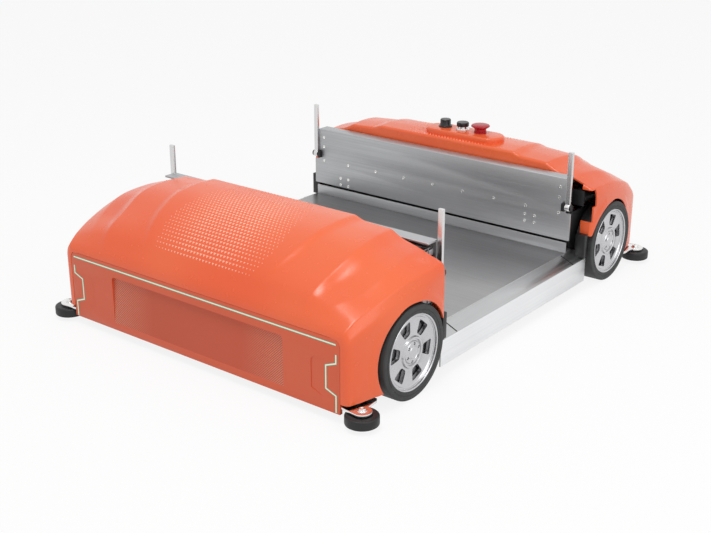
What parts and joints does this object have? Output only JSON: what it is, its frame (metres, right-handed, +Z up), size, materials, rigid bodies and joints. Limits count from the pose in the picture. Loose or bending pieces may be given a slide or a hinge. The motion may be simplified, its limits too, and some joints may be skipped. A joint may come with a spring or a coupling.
{
  "type": "tote shuttle robot",
  "caption": "Low four-wheeled shelf shuttle with a metal bed between two covered modules, telescopic forks with swinging fingers, and guide rollers.",
  "frame": {"origin": "on the floor under the middle of the bed, centred on the guide rollers and wheels", "axes": "+X is the travel direction, +Y is to the left of it, +Z is up"},
  "size_m": [0.9748, 0.7418, 0.281],
  "materials": {
    "cover_orange": "glossy moulded cover",
    "panel_orange": "glossy face panel, a deeper orange",
    "frame_dark": "dark grey powder coat",
    "stainless": "brushed stainless sheet",
    "deck_metal": "brushed stainless sheet",
    "slide_steel": "ground steel slides",
    "zinc": "bright zinc plate",
    "rim_alloy": "cast and turned alloy",
    "tyre_rubber": "dark grey rubber",
    "roller_rubber": "black polyurethane",
    "finger_steel": "bright flat bar",
    "drive_black": "matte black",
    "light_green": "pale green light line",
    "grille_orange": "shaded orange grille",
    "control_black": "black moulded knob",
    "stop_red": "red mushroom head",
    "pack_grey": "plain housing"
  },
  "bodies": {
    "chassis": {"base_tray": "frame_dark", "side_frame_left": "frame_dark", "side_frame_right": "frame_dark", "deck": "deck_metal", "wheel_axles": "frame_dark", "roller_brackets": "zinc", "cover_front": "cover_orange", "cover_rear": "cover_orange", "battery_pack": "pack_grey", "drive_motors": "pack_grey", "mode_knob": "control_black", "start_knob": "control_black", "emergency_stop": "stop_red", "bulkhead_front": "frame_dark", "bulkhead_rear": "frame_dark", "bed_wall_front": "stainless", "bed_wall_rear": "stainless", "face_panel_front": "panel_orange", "face_panel_rear": "panel_orange", "panel_lights_front": "light_green", "panel_lights_rear": "light_green", "panel_grille_front": "grille_orange", "panel_grille_rear": "grille_orange", "fork_drive_front": "drive_black", "fork_drive_rear": "drive_black", "fork_rail_front": "slide_steel", "fork_rail_rear": "slide_steel"},
    "wheel_front_left": {"tyre_front_left": "tyre_rubber", "rim_front_left": "rim_alloy"},
    "wheel_front_right": {"tyre_front_right": "tyre_rubber", "rim_front_right": "rim_alloy"},
    "wheel_rear_left": {"tyre_rear_left": "tyre_rubber", "rim_rear_left": "rim_alloy"},
    "wheel_rear_right": {"tyre_rear_right": "tyre_rubber", "rim_rear_right": "rim_alloy"},
    "roller_front_left": {"guide_roller_front_left": "roller_rubber"},
    "roller_front_right": {"guide_roller_front_right": "roller_rubber"},
    "roller_rear_left": {"guide_roller_rear_left": "roller_rubber"},
    "roller_rear_right": {"guide_roller_rear_right": "roller_rubber"},
    "stage_front": {"fork_stage_front": "slide_steel"},
    "fork_front": {"finger_plate_front": "stainless", "finger_drives_front": "drive_black"},
    "stage_rear": {"fork_stage_rear": "slide_steel"},
    "fork_rear": {"finger_plate_rear": "stainless", "finger_drives_rear": "drive_black"},
    "finger_front_left": {"finger_front_left": "finger_steel"},
    "finger_front_right": {"finger_front_right": "finger_steel"},
    "finger_rear_left": {"finger_rear_left": "finger_steel"},
    "finger_rear_right": {"finger_rear_right": "finger_steel"}
  },
  "joints": [
    {"name": "wheel_front_left_spin", "type": "hinge", "parent": "chassis", "child": "wheel_front_left", "pos_m": [0.3318, 0.329, 0.08], "axis": [0, 1, 0], "continuous": true},
    {"name": "wheel_front_right_spin", "type": "hinge", "parent": "chassis", "child": "wheel_front_right", "pos_m": [0.3318, -0.329, 0.08], "axis": [0, 1, 0], "continuous": true},
    {"name": "wheel_rear_left_spin", "type": "hinge", "parent": "chassis", "child": "wheel_rear_left", "pos_m": [-0.3318, 0.329, 0.08], "axis": [0, 1, 0], "continuous": true},
    {"name": "wheel_rear_right_spin", "type": "hinge", "parent": "chassis", "child": "wheel_rear_right", "pos_m": [-0.3318, -0.329, 0.08], "axis": [0, 1, 0], "continuous": true},
    {"name": "roller_front_left_spin", "type": "hinge", "parent": "chassis", "child": "roller_front_left", "pos_m": [0.46, 0.3435, 0.016], "axis": [0, 0, 1], "continuous": true},
    {"name": "roller_front_right_spin", "type": "hinge", "parent": "chassis", "child": "roller_front_right", "pos_m": [0.46, -0.3435, 0.016], "axis": [0, 0, 1], "continuous": true},
    {"name": "roller_rear_left_spin", "type": "hinge", "parent": "chassis", "child": "roller_rear_left", "pos_m": [-0.46, 0.3435, 0.016], "axis": [0, 0, 1], "continuous": true},
    {"name": "roller_rear_right_spin", "type": "hinge", "parent": "chassis", "child": "roller_rear_right", "pos_m": [-0.46, -0.3435, 0.016], "axis": [0, 0, 1], "continuous": true},
    {"name": "stage_front_slide", "type": "slide", "parent": "chassis", "child": "stage_front", "axis": [0, 1, 0], "range_m": [-0.31, 0.31]},
    {"name": "fork_front_slide", "type": "slide", "parent": "stage_front", "child": "fork_front", "axis": [0, 1, 0], "range_m": [-0.31, 0.31]},
    {"name": "stage_rear_slide", "type": "slide", "parent": "chassis", "child": "stage_rear", "axis": [0, 1, 0], "range_m": [-0.31, 0.31]},
    {"name": "fork_rear_slide", "type": "slide", "parent": "stage_rear", "child": "fork_rear", "axis": [0, 1, 0], "range_m": [-0.31, 0.31]},
    {"name": "finger_front_left_swing", "type": "hinge", "parent": "fork_front", "child": "finger_front_left", "pos_m": [0.2136, 0.312, 0.172], "axis": [0, -1, 0], "range_deg": [0, 90]},
    {"name": "finger_front_right_swing", "type": "hinge", "parent": "fork_front", "child": "finger_front_right", "pos_m": [0.2136, -0.312, 0.172], "axis": [0, -1, 0], "range_deg": [0, 90]},
    {"name": "finger_rear_left_swing", "type": "hinge", "parent": "fork_rear", "child": "finger_rear_left", "pos_m": [-0.2136, 0.312, 0.172], "axis": [0, 1, 0], "range_deg": [0, 90]},
    {"name": "finger_rear_right_swing", "type": "hinge", "parent": "fork_rear", "child": "finger_rear_right", "pos_m": [-0.2136, -0.312, 0.172], "axis": [0, 1, 0], "range_deg": [0, 90]}
  ],
  "couplings": [
    {"joint": "fork_front_slide", "follows": "stage_front_slide", "ratio": 1},
    {"joint": "stage_rear_slide", "follows": "stage_front_slide", "ratio": 1},
    {"joint": "fork_rear_slide", "follows": "stage_front_slide", "ratio": 1}
  ]
}
